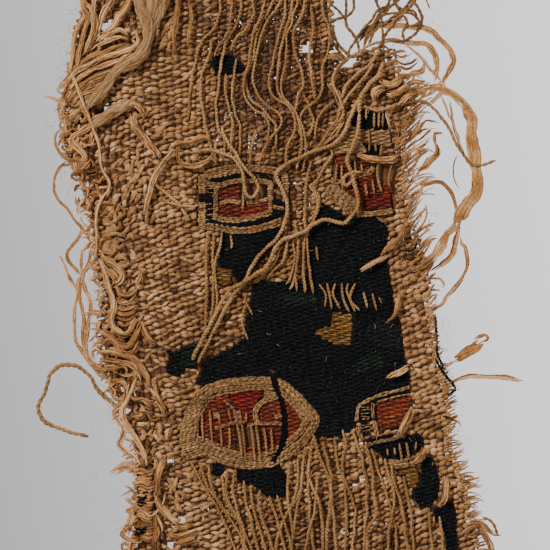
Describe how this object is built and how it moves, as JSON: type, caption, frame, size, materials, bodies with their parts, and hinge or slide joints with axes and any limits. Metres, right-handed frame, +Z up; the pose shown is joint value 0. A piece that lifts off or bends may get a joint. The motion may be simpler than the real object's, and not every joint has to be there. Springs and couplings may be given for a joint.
{
  "type": "tapestry-woven textile fragment",
  "caption": "Torn piece of old coarse linen cloth with a woven-in wool tapestry band, lying flat, with frayed edges and loose looping yarns.",
  "frame": {"origin": "bottom centre of the bounding box, on the surface the cloth lies on", "axes": "+X to the right and +Y up the cloth as the picture shows it, along the warps; +Z up from the surface, out of the face"},
  "size_m": [0.0976, 0.141, 0.003],
  "materials": {
    "linen_ground": "coarse old linen, weft-faced tabby of softly spun tan yarn over brown",
    "frayed_linen": "loose softly spun linen yarn, matt, golden tan",
    "warp_linen": "two-ply twisted linen warp, matt, brown tan",
    "dark_wool": "black-navy tapestry wool, fine ribs, fuzzy",
    "red_wool": "brown-red tapestry wool, ribbed",
    "ochre_wool": "ochre and green tapestry wool, ribbed"
  },
  "bodies": {
    "root": {"ground_cloth": "linen_ground", "left_fray": "frayed_linen", "right_fray": "frayed_linen", "top_fray": "warp_linen", "bottom_fray": "warp_linen"}
  },
  "joints": []
}
